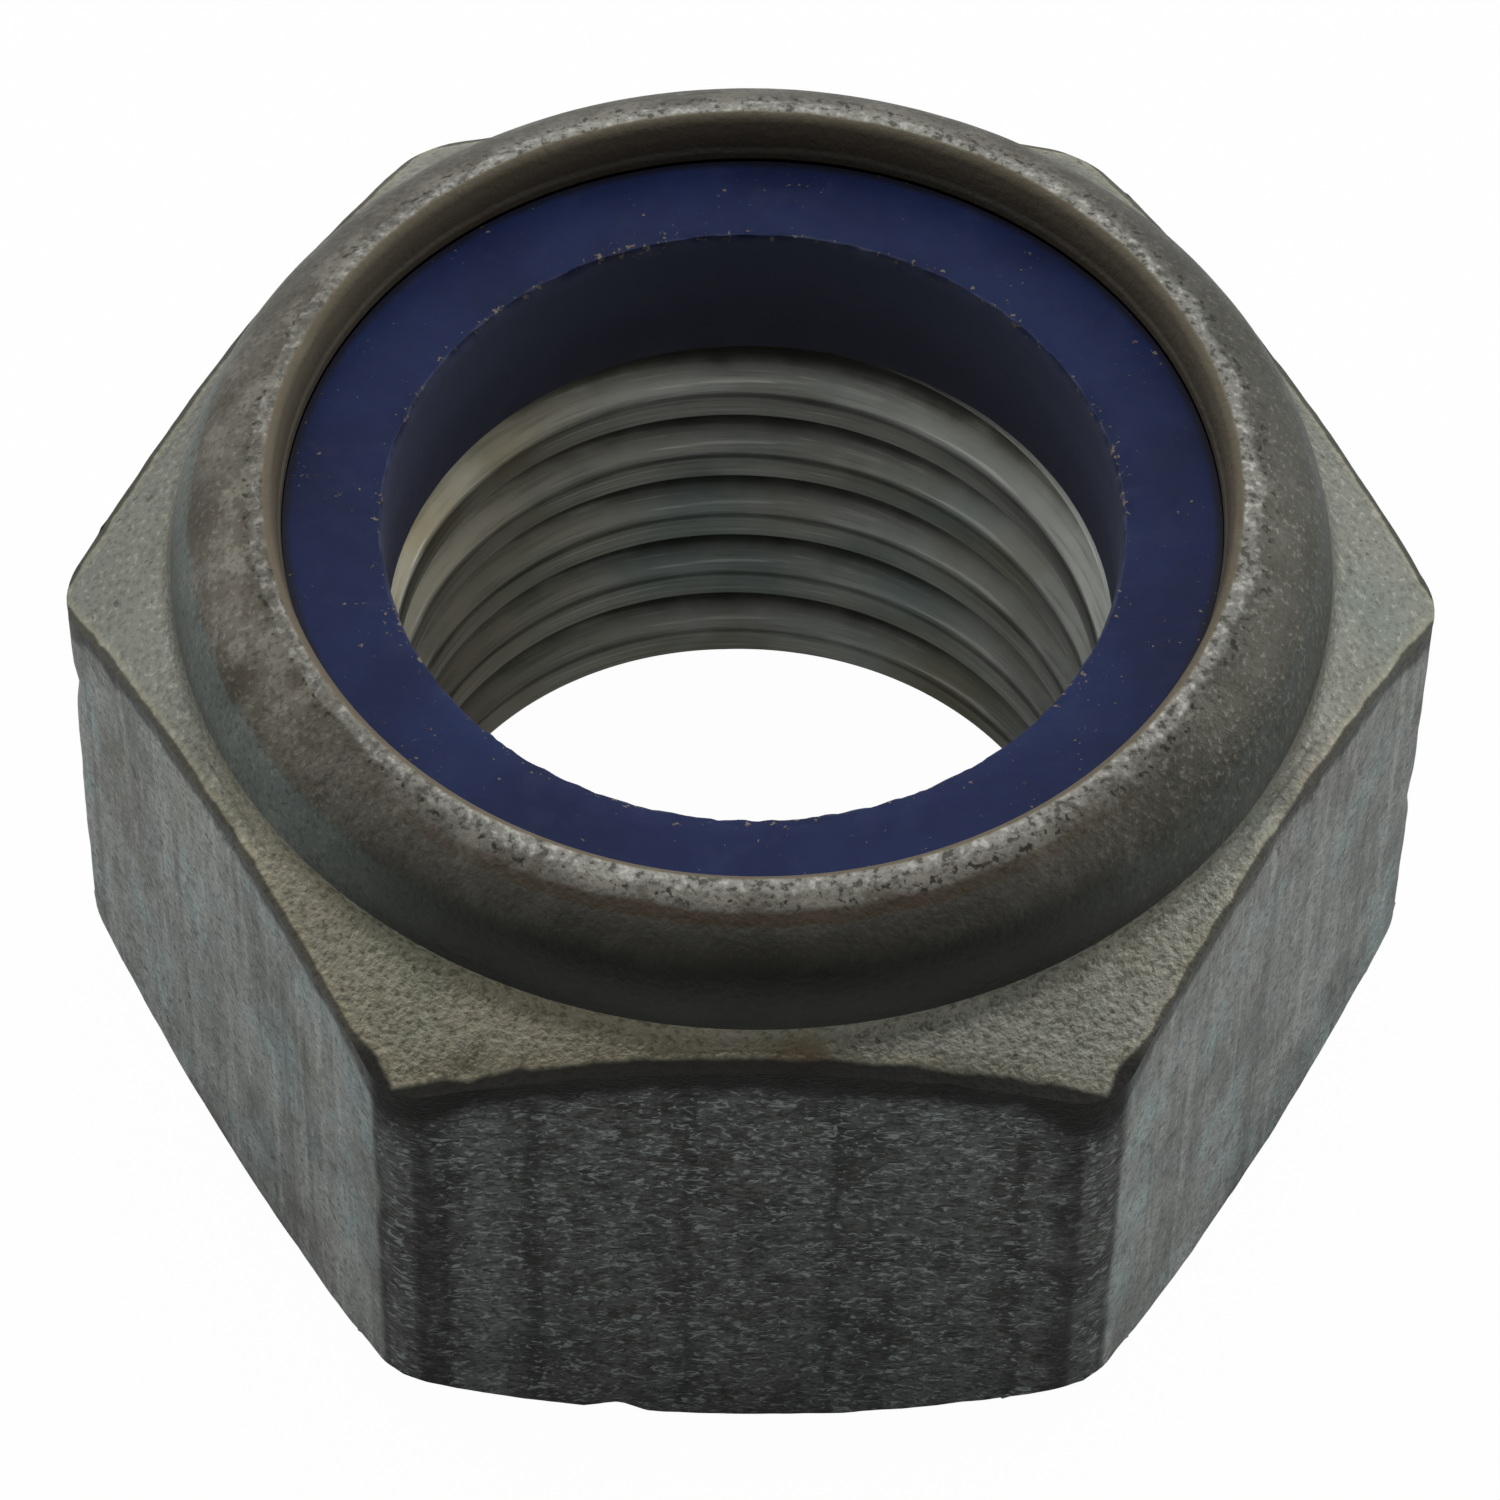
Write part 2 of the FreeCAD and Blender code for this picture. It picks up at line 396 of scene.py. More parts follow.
def add_thread_groove(s, steps):
    """Coil with the section of the thread's groove, a little longer than the bore."""
    half_angle = math.radians(30)
    root_round = 0.16
    root = s.thread_diameter / 2 + 0.06
    mouth = s.hole_radius - 0.25
    flank_foot = s.thread_diameter / 2 - root_round
    sharp = s.thread_diameter / 2 + s.thread_pitch / 16 / math.tan(half_angle)

    def half_width(radius):
        return (sharp - radius) * math.tan(half_angle)

    # the crests are rounded from the bore's wall to a shoulder on the flank
    shoulder = s.hole_radius + 0.1
    flare = half_width(s.hole_radius) + 0.16
    upper = [
        Vector((mouth, flare + 0.12)),
        Vector((s.hole_radius - 0.012, flare)),
        Vector((s.hole_radius + 0.03, half_width(shoulder) + 0.07)),
        Vector((shoulder + 0.02, half_width(shoulder + 0.02))),
        Vector((flank_foot, half_width(flank_foot))),
        Vector((root - 0.05, root_round * 0.8)),
        Vector((root, root_round * 0.3)),
    ]
    lower = [Vector((place.x, -place.y)) for place in reversed(upper)]

    # at the back a groove lies half a pitch over a crest, and the coil starts a quarter turn before it
    start = s.crest_height + s.thread_pitch * (0.5 - 0.25)
    turns = 0
    while start > -s.thread_pitch / 2:
        start -= s.thread_pitch
    while start + turns * s.thread_pitch < s.recess_floor + 1:
        turns += 1
    lift = Vector((0, start))
    coil = draw_section("groove", [place + lift for place in upper + lower])
    screw = coil.modifiers.new("Helix", "SCREW")
    screw.screw_offset = s.thread_pitch
    screw.iterations = turns
    screw.steps = steps
    screw.render_steps = steps
    screw.use_merge_vertices = True
    screw.merge_threshold = 0.001
    bpy.ops.object.modifier_apply(modifier=screw.name)
    bpy.ops.object.mode_set(mode="EDIT")
    bpy.ops.mesh.select_all(action="SELECT")
    bpy.ops.mesh.remove_doubles(threshold=0.001)
    bpy.ops.mesh.fill_holes(sides=0)
    bpy.ops.mesh.normals_make_consistent(inside=False)
    bpy.ops.object.mode_set(mode="OBJECT")
    return coil


def merge_slivers(piece):
    """Merge the short edges that bevels and Booleans leave."""
    bpy.ops.object.mode_set(mode="EDIT")
    bpy.ops.mesh.select_mode(type="VERT")
    bpy.ops.mesh.select_all(action="SELECT")
    bpy.ops.mesh.remove_doubles(threshold=0.006)
    bpy.ops.mesh.dissolve_degenerate(threshold=0.002)
    bpy.ops.object.mode_set(mode="OBJECT")


def press_in(piece, size, depth, test):
    """Press part of a piece in by up to a depth, in random hollows of about a size."""
    group = piece.vertex_groups.new(name="pressed")
    group.add([corner.index for corner in piece.data.vertices if test(corner.co)], 1.0, "REPLACE")
    hollows = bpy.data.textures.new("hollows", "CLOUDS")
    hollows.noise_scale = size
    press = piece.modifiers.new("Press", "DISPLACE")
    press.texture = hollows
    press.texture_coords = "LOCAL"
    press.vertex_group = group.name
    press.mid_level = 1.0
    press.strength = depth
    bpy.context.view_layer.objects.active = piece
    bpy.ops.object.modifier_apply(modifier=press.name)
    piece.vertex_groups.clear()


def dent(piece, place, push, reach):
    """Press a soft-edged dent into a piece, at the corner of its mesh nearest a place."""
    mesh = bmesh.from_edit_mesh(piece.data)
    nearest = min(mesh.verts, key=lambda corner: (corner.co - Vector(place)).length).index
    select_where(piece, "verts", lambda corner: corner.index == nearest)
    bpy.ops.transform.translate(
        value=push, use_proportional_edit=True, proportional_edit_falloff="SMOOTH", proportional_size=reach)


def dent_edges(piece, s):
    """Knocks on the hexagon's edges and a nick in the lip, each with its push and its reach."""
    upper = s.hex_height - 0.1
    front = -s.half_flats
    bpy.ops.object.mode_set(mode="EDIT")
    for place, push, reach in (
        ((-6.6, front, upper - 0.3), (0.03, 0.12, -0.14), 0.9),
        ((4.7, front, upper - 0.1), (0, 0.12, -0.1), 0.7),
        ((0.9, front, upper), (0, 0.08, -0.08), 0.5),
        ((-12.4, -8.1, upper), (0.1, 0.06, -0.12), 0.8),
        ((12.9, -7.3, upper), (-0.1, 0.06, -0.12), 0.9),
        ((-3.2, front, 0.4), (0, 0.14, 0.12), 0.9),
        ((5.9, front, 0.5), (0, 0.12, 0.1), 0.7),
        ((-8.45, front + 0.3, 9.5), (0.1, 0.12, 0), 1.4),
        ((8.5, front + 0.3, 5.2), (-0.1, 0.1, 0), 1.1),
        ((-16.9, -0.3, 11.5), (0.14, 0, 0), 1.2),
        ((16.9, 0.2, 7.5), (-0.14, 0, 0), 1.3),
        ((11.85, -1.1, s.bend_centre.y + s.lip_bend - 0.1), (-0.03, 0, -0.14), 0.45),
        ((-11.2, 4.3, s.bend_centre.y + s.lip_bend - 0.1), (0, 0, -0.1), 0.5),
    ):
        dent(piece, place, push, reach)
    bpy.ops.object.mode_set(mode="OBJECT")


def trim_to_flats(piece, s):
    """Bring back what stands proud of the six flats."""
    for corner in piece.data.vertices:
        proud = hex_distance(corner.co) / s.half_flats
        if proud > 1:
            corner.co.xy /= proud


def finish_of_face(face, s):
    """Which finish a face of the nut has."""
    centre = face.center
    radius = math.hypot(centre.x, centre.y)
    if radius < s.recess_radius + 0.01 and centre.z < s.bend_centre.y and centre.z > 0.01 and (
            radius < s.entry_radius or centre.z > s.recess_floor - 0.01):
        return "thread"
    if centre.z > s.foot_top and radius < s.collar_radius:
        return "collar"
    if face.normal.z > 0.5 or (centre.z > s.hex_height - 0.1 and radius < s.collar_radius + 0.4):
        return "shoulder"
    if face.normal.z < -0.95:
        return "bearing"
    return "flats"


class LOCKNUT_OT_body(bpy.types.Operator):
    """Model the steel nut with its hexagon, rolled collar, bore and thread"""

    bl_idname = "locknut.body"
    bl_label = "Steel Nut"
    bl_options = {"REGISTER", "UNDO"}

    def execute(self, context):
        s = derived(context.scene.lock_nut_sizes)
        steps = 240
        body = draw_section("steel_nut", nut_outline(s))
        spin_section(body, steps)
        combine(body, add_hexagon_bar(s), "INTERSECT")
        round_hexagon_edges(body, s)
        slice_flats(body, s)
        combine(body, add_thread_groove(s, steps), "DIFFERENCE")
        merge_slivers(body)
        press_in(body, 2.5, 0.07, lambda place: hex_distance(place) > s.half_flats - 0.5)
        press_in(body, 0.8, 0.04, lambda place: hex_distance(place) > s.half_flats - 0.5)
        press_in(body, 1.6, 0.03, lambda place: place.z > s.foot_top and place.xy.length > s.recess_radius)
        dent_edges(body, s)
        trim_to_flats(body, s)
        finishes = {
            "flats": plated_flats, "shoulder": plated_shoulder, "collar": plated_collar,
            "bearing": turned_bearing, "thread": cut_thread,
        }
        for finish in finishes.values():
            body.data.materials.append(finish(s))
        for face in body.data.polygons:
            face.material_index = list(finishes).index(finish_of_face(face, s))
        bring_to_metres(body)
        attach(body, "root")
        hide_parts("nut_body")
        return {"FINISHED"}


def ring_outline(s):
    """Section of the nylon ring."""
    shoulder = swung(s.bend_centre, s.inner_bend - s.insert_gap, s.lip_end)
    outer = s.recess_radius - s.insert_gap
    bore = s.insert_bore / 2
    top = shoulder.y
    corners = [
        (Vector((bore, s.recess_floor)), s.insert_round),
        (Vector((outer, s.recess_floor)), 0),
        (Vector((outer, s.bend_centre.y)), 0),
    ]
    points = outline(corners + [(shoulder, 0), (Vector((bore, top)), s.insert_round)], 0.3, 0.05)
    return points


class LOCKNUT_OT_ring(bpy.types.Operator):
    """Model the nylon ring under the collar's lip"""

    bl_idname = "locknut.ring"
    bl_label = "Nylon Ring"
    bl_options = {"REGISTER", "UNDO"}

    def execute(self, context):
        s = derived(context.scene.lock_nut_sizes)
        ring = draw_section("nylon_ring", ring_outline(s))
        spin_section(ring, 360)
        rim = s.insert_bore / 2 + s.insert_round + 0.02
        press_in(ring, 0.5, 0.16, lambda place: place.xy.length < rim and place.z > s.bend_centre.y + 1.2)
        ring.data.materials.append(moulded_nylon(s))
        bring_to_metres(ring)
        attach(ring, "root")
        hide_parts("nylon_insert")
        return {"FINISHED"}


def add_node(tree, kind, settings=None, inputs=None, output=0):
    """Add a node with its settings and with values or links for its inputs, and give one of its outputs.

    The settings of a node that calculates may be the name of its operation alone.
    """
    node = tree.nodes.new("ShaderNode" + kind)
    if isinstance(settings, str):
        settings = {"operation": settings}
    for name, value in (settings or {}).items():
        setattr(node, name, value)
    for name, value in (inputs or {}).items():
        if isinstance(value, bpy.types.NodeSocket):
            tree.links.new(value, node.inputs[name])
        else:
            node.inputs[name].default_value = value
    return node.outputs[output] if node.outputs else None


def new_material(name):
    """An empty node material."""
    material = bpy.data.materials.new(name)
    material.use_nodes = True
    material.node_tree.nodes.clear()
    return material


class Skin:
    """A material in the making, with its colour so far and where each point of the nut lies."""

    def __init__(self, name, colour, s):
        self.material = new_material(name)
        self.add = partial(add_node, self.material.node_tree)
        self.colour = linear(colour)

        # millimetres from the Object coordinates
        corner = self.add("TexCoord", output="Object")
        self.point = self.add("VectorMath", "SCALE", {0: corner, "Scale": MILLIMETRES})
        self.x, self.y, self.z = self.add("SeparateXYZ", inputs={0: self.point}).node.outputs
        level = self.add("VectorMath", "MULTIPLY", {0: self.point, 1: (1, 1, 0)})
        self.radius = self.add("VectorMath", "LENGTH", {0: level}, "Value")

        # distance from the axis to the nearest flat's plane, and along that flat from its middle
        folded = self.add("VectorMath", "ABSOLUTE", {0: level})
        diagonal = self.add("VectorMath", "DOT_PRODUCT", {
            0: folded, 1: (math.cos(math.radians(30)), 0.5, 0)}, "Value")
        depth = self.add("Math", "ABSOLUTE", {0: self.y})
        self.to_flat = self.add("Math", "MAXIMUM", {0: diagonal, 1: depth})
        whole = self.add("Math", "POWER", {0: self.radius, 1: 2.0})
        part = self.add("Math", "POWER", {0: self.to_flat, 1: 2.0})
        rest = self.add("Math", "SUBTRACT", {0: whole, 1: part})
        self.along = self.add("Math", "SQRT", {0: rest})

        # how far under the shoulder's cone, and the degrees on the collar's bend from upright outwards
        slope = math.tan(s.top_cone)
        cone = self.add("Math", "MULTIPLY_ADD", {
            0: self.radius, 1: -slope, 2: s.hex_height + s.half_flats * slope})
        self.below = self.add("Math", "SUBTRACT", {0: cone, 1: self.z})
        out = self.add("Math", "SUBTRACT", {0: self.radius, 1: s.bend_centre.x})
        up = self.add("Math", "SUBTRACT", {0: self.z, 1: s.bend_centre.y})
        turn = self.add("Math", "ARCTAN2", {0: out, 1: up})
        self.bend = self.add("Math", "DEGREES", {0: turn})

    def patches(self, size, detail=2.0, shift=0.0, curl=0.0, point=None):
        """Soft random field whose patches have a size in millimetres, or one along each axis.

        The shift makes it another field, and the curl bends its patches.
        """
        sides = size if isinstance(size, tuple) else (size, size, size)
        fitted = self.add("Mapping", inputs={
            "Vector": self.point if point is None else point,
            "Location": (shift, shift, shift), "Scale": [1 / side for side in sides]})
        return self.add("TexNoise", inputs={
            "Vector": fitted, "Scale": 1.0, "Detail": detail, "Roughness": 0.55, "Distortion": curl})

    def wandering(self, level, size, reach, shift=0.0):
        """A level moved to and fro at random, so that a border drawn at it is ragged."""
        field = self.patches(size, 4.0, shift)
        offset = self.add("Math", "MULTIPLY_ADD", {0: field, 1: reach, 2: -reach / 2})
        return self.add("Math", "ADD", {0: level, 1: offset})

    def away(self, level, middle):
        """How far a level is from a middle, to either side."""
        off = self.add("Math", "SUBTRACT", {0: level, 1: middle})
        return self.add("Math", "ABSOLUTE", {0: off})

    def round_spot(self, centre, size, reach):
        """Ragged distance from the centre of a spot."""
        off = self.add("VectorMath", "DISTANCE", {0: self.point, 1: centre}, "Value")
        return self.wandering(off, size, reach, 6.0)

    def paint(self, field, low, high, strength, over, blend="MIX"):
        """Lay a colour over the one so far, the stronger the nearer a field is to its high level."""
        mask = self.add("MapRange", SMOOTH, {
            "Value": field, "From Min": low, "From Max": high, "To Max": strength})
        self.colour = self.add("Mix", {"data_type": "RGBA", "blend_type": blend}, {
            0: mask, 6: self.colour, 7: linear(over)}, 2)

    def passivate(self, strength):
        """Faint greenish, yellow and rosy tints of the passivated zinc."""
        for shift, low, tint in ((0.0, 0.5, "#6f8d8f"), (17.3, 0.52, "#8f8560"), (41.7, 0.56, "#8f7672")):
            field = self.patches(5.5, 3.0, shift)
            self.paint(field, low, low + 0.22, strength, tint, "OVERLAY")

    def close(self, field, smoothest, roughest, relief, dirt=None, soil=None, fixed=None):
        """Join colour, roughness and relief to the surface, and give the material.

        The relief is a list of fields, each with its strength and its depth in millimetres. Where there
        is a mask of dirt the surface is plated metal, with dirt on it that is dull, rough and no metal;
        in some materials that mask also lays painted shade.
        """
        rough = self.add("MapRange", inputs={
            "Value": field, "From Min": 0.3, "From Max": 0.7, "To Min": smoothest, "To Max": roughest})
        inputs = dict(fixed or {})
        if soil:
            self.colour = self.add("Mix", {"data_type": "RGBA"}, {
                0: dirt, 6: self.colour, 7: linear(soil)}, 2)
            inputs["Metallic"] = self.add("Math", "MULTIPLY_ADD", {0: dirt, 1: -0.8, 2: 1.0})
            rough = self.add("Mix", {"data_type": "FLOAT"}, {0: dirt, 2: rough, 3: 0.85})
        for height, strength, depth in relief:
            bump = {"Height": height, "Strength": strength, "Distance": depth / MILLIMETRES}
            if "Normal" in inputs:
                bump["Normal"] = inputs["Normal"]
            inputs["Normal"] = self.add("Bump", inputs=bump)
        inputs.update({"Base Color": self.colour, "Roughness": rough})
        self.add("OutputMaterial", inputs={"Surface": self.add("BsdfPrincipled", inputs=inputs)})
        return self.material


def plated_flats(s):
    """Zinc plate on the drawn hexagon bar: dull and grained, with lines left by the die.

    The zinc is electroplated and passivated, which gives a soft grey sheen with faint tints. Its grain
    is drawn 0.2 mm wide, a little coarser than it is, so that it shows.
    """
    skin = Skin("zinc_plated_flats", "#767977", s)
    tone = skin.patches((3.0, 3.0, 5.0), 5.0)
    grain = skin.patches((0.2, 0.2, 0.16), 3.0, 0.0, 0.6)
    skin.paint(tone, 0.3, 0.7, 1.0, "#9b9f9d")
    skin.passivate(0.35)
    wash = skin.patches((2.4, 2.4, 3.6), 4.0, 63.0)
    skin.paint(wash, 0.48, 0.66, 0.45, "#9ab1b3")

    # the die's lines run the whole height of a flat, and short scratches lie along them
    lines = skin.patches((0.45, 0.45, 22.0), 5.0, 5.1)
    skin.paint(lines, 0.52, 0.68, 0.32, "#babfbc")
    skin.paint(lines, 0.46, 0.3, 0.32, "#4a4a45")
    scratches = skin.patches((0.35, 0.35, 2.4), 5.0, 44.0)
    skin.paint(scratches, 0.54, 0.68, 0.35, "#b4b8b4")
    skin.paint(scratches, 0.42, 0.32, 0.3, "#55564f")
    skin.paint(grain, 0.49, 0.34, 0.5, "#4a4b45")
    skin.paint(grain, 0.56, 0.68, 0.25, "#bfc2be")

    # the flat towards -Y is darkened as painted shade, with its dark blotches stronger there as painted
    # shade, and upright bands laid on it
    front = skin.add("MapRange", SMOOTH, {
        "Value": skin.y, "From Min": -s.half_flats + 0.9, "From Max": -s.half_flats + 0.5})
    skin.paint(front, 0.0, 1.0, 0.82, "#464847")
    blotch = skin.patches((1.3, 1.3, 1.6), 5.0, 27.0)
    half = skin.add("Math", "MULTIPLY", {0: front, 1: 0.5})
    strength = skin.add("Math", "MULTIPLY_ADD", {0: front, 1: 0.3, 2: 0.2})
    skin.paint(blotch, 0.52, 0.36, strength, "#2d2f2d")
    wavy_x = skin.wandering(skin.x, 1.2, 0.9, 8.8)
    for middle, reach, over in (
        (-7.3, 0.25, "#232523"), (-6.3, 0.7, "#6a706e"), (-5.2, 0.3, "#242624"), (-1.4, 0.2, "#2a2c2a"),
        (2.1, 0.2, "#262826"), (4.2, 0.6, "#5d6361"), (5.6, 0.4, "#626866"), (6.6, 0.25, "#262826"),
    ):
        skin.paint(skin.away(wavy_x, middle), reach, reach * 0.3, half, over)
    # short light dashes with dark gaps on the flat towards -Y are painted highlights and shade, standing
    # for the glints on its grain's crests
    dashes = skin.patches((0.32, 0.32, 0.16), 2.0, 6.1, 1.3)
    strength = skin.add("Math", "MULTIPLY", {0: front, 1: 0.65})
    skin.paint(dashes, 0.55, 0.65, strength, "#979fa0")
    skin.paint(dashes, 0.47, 0.37, strength, "#2a2b28")

    # scuffs and rolled-in scale, laid stronger towards -Y as painted shade
    scuff = skin.patches((1.0, 1.0, 0.7), 6.0, 9.4)
    strength = skin.add("Math", "MULTIPLY_ADD", {0: front, 1: 0.2, 2: 0.4})
    skin.paint(scuff, 0.58, 0.72, strength, "#31302b")
    specks = skin.patches(0.28, 3.0, 71.0)
    skin.paint(specks, 0.62, 0.7, 0.55, "#2c2b26")

    # the plating is worn through at the upper edge, wider at the corners, and along the uprights; this dark
    # is wider and stronger towards -Y as painted shade, and the flats are darker towards the bottom
    reach = skin.add("MapRange", SMOOTH, {
        "Value": skin.along, "From Min": 6.2, "From Max": 8.3, "To Min": 1.1, "To Max": 2.0})
    worn = skin.add("Math", "MULTIPLY_ADD", {0: front, 1: 0.3, 2: 0.7})
    reach = skin.add("Math", "MULTIPLY", {0: reach, 1: worn})
    share = skin.add("Math", "DIVIDE", {0: skin.below, 1: reach})
    share = skin.wandering(share, 0.9, 0.9, 3.3)
    strength = skin.add("Math", "MULTIPLY_ADD", {0: front, 1: 0.3, 2: 0.65})
    edge = skin.add("MapRange", SMOOTH, {
        "Value": share, "From Min": 1.0, "From Max": 0.45, "To Max": strength})
    ragged = skin.wandering(skin.along, 1.1, 2.4, 6.6)
    strength = skin.add("Math", "MULTIPLY_ADD", {0: front, 1: 0.5, 2: 0.1})
    strip = skin.add("MapRange", SMOOTH, {
        "Value": ragged, "From Min": 7.1, "From Max": 8.0, "To Max": strength})
    rounded = skin.add("MapRange", SMOOTH, {
        "Value": skin.along, "From Min": 8.2, "From Max": 7.95})
    strip = skin.add("Math", "MULTIPLY", {0: strip, 1: rounded})
    foot = skin.add("MapRange", SMOOTH, {
        "Value": skin.wandering(skin.z, 0.9, 0.8, 1.9), "From Min": 1.0, "From Max": 0.4,
        "To Max": 0.5})
    dirt = skin.add("Math", "MAXIMUM", {0: edge, 1: strip})
    dirt = skin.add("Math", "MAXIMUM", {0: dirt, 1: foot})

    return skin.close(tone, 0.42, 0.56, [(lines, 1.0, 0.025), (dashes, 1.0, 0.09)], dirt, "#0f0e0c")


def plated_shoulder(s):
    """Zinc plate on the forged shoulder: matt, pebbled like fine sand and yellowed.

    The die's skin is rough there, and the plating follows it, with dirt between the pebbles. The pebbles'
    dark hollows, stronger towards -Y, and light tops are also painted shade and highlight. They are
    drawn 0.2 mm wide, a little coarser than they are.
    """
    skin = Skin("zinc_plated_shoulder", "#787970", s)
    tone = skin.patches(2.6, 5.0, 2.2)
    skin.paint(tone, 0.3, 0.7, 1.0, "#8e8e85")
    yellowed = skin.add("VectorMath", "DOT_PRODUCT", {
        0: skin.point, 1: (-0.55, -0.83, 0)}, "Value")
    yellowed = skin.wandering(yellowed, 3.0, 6.0, 4.0)
    skin.paint(yellowed, 9.0, 14.0, 0.6, "#8e8873")
    greenish = skin.add("Math", "ABSOLUTE", {0: skin.x})
    greenish = skin.wandering(greenish, 3.0, 5.0, 5.0)
    skin.paint(greenish, 9.5, 14.5, 0.85, "#6d6f68")
    skin.passivate(0.3)

    front = skin.add("MapRange", SMOOTH, {
        "Value": skin.y, "From Min": -s.half_flats + 8.0, "From Max": -s.half_flats + 3.0})
    crisp = skin.add("MapRange", inputs={"Value": front, "To Min": 0.35, "To Max": 0.48})
    pebbles = skin.patches((0.19, 0.19, 0.16), 2.0, 7.7)
    pits = skin.patches(0.26, 3.0, 21.0)
    # the pebbles' dark hollows, stronger towards -Y, and light tops are partly dirt and partly painted
    # shade and highlight
    skin.paint(pebbles, 0.48, 0.34, crisp, "#45433b")
    skin.paint(pebbles, 0.56, 0.7, 0.2, "#bfbdb0")
    skin.paint(pits, 0.36, 0.31, 0.55, "#3c3a33")

    # the plating is worn through at the edge, below a thin yellow line, and this dark is wider and stronger
    # towards -Y as painted shade
    inside = skin.add("Math", "SUBTRACT", {0: s.half_flats, 1: skin.to_flat})
    inside = skin.wandering(inside, 0.9, 0.22, 3.3)
    front = skin.add("MapRange", SMOOTH, {
        "Value": skin.y, "From Min": -s.half_flats + 2.0, "From Max": -s.half_flats + 1.0})
    width = skin.add("MapRange", inputs={"Value": front, "To Min": 0.2, "To Max": 0.4})
    share = skin.add("Math", "DIVIDE", {0: inside, 1: width})
    skin.paint(share, 2.0, 1.3, 0.2, "#9c957a")
    strength = skin.add("Math", "MULTIPLY_ADD", {0: front, 1: 0.3, 2: 0.65})
    dirt = skin.add("MapRange", SMOOTH, {
        "Value": share, "From Min": 1.15, "From Max": 0.75, "To Max": strength})

    # one spot of rust sits on the front edge
    skin.paint(skin.round_spot((1.3, -14.7, 16.0), 0.5, 1.2), 1.1, 0.2, 0.55, "#6b5234")
    return skin.close(tone, 0.48, 0.62, [(pebbles, crisp, 0.13)], dirt, "#0f0e0c")


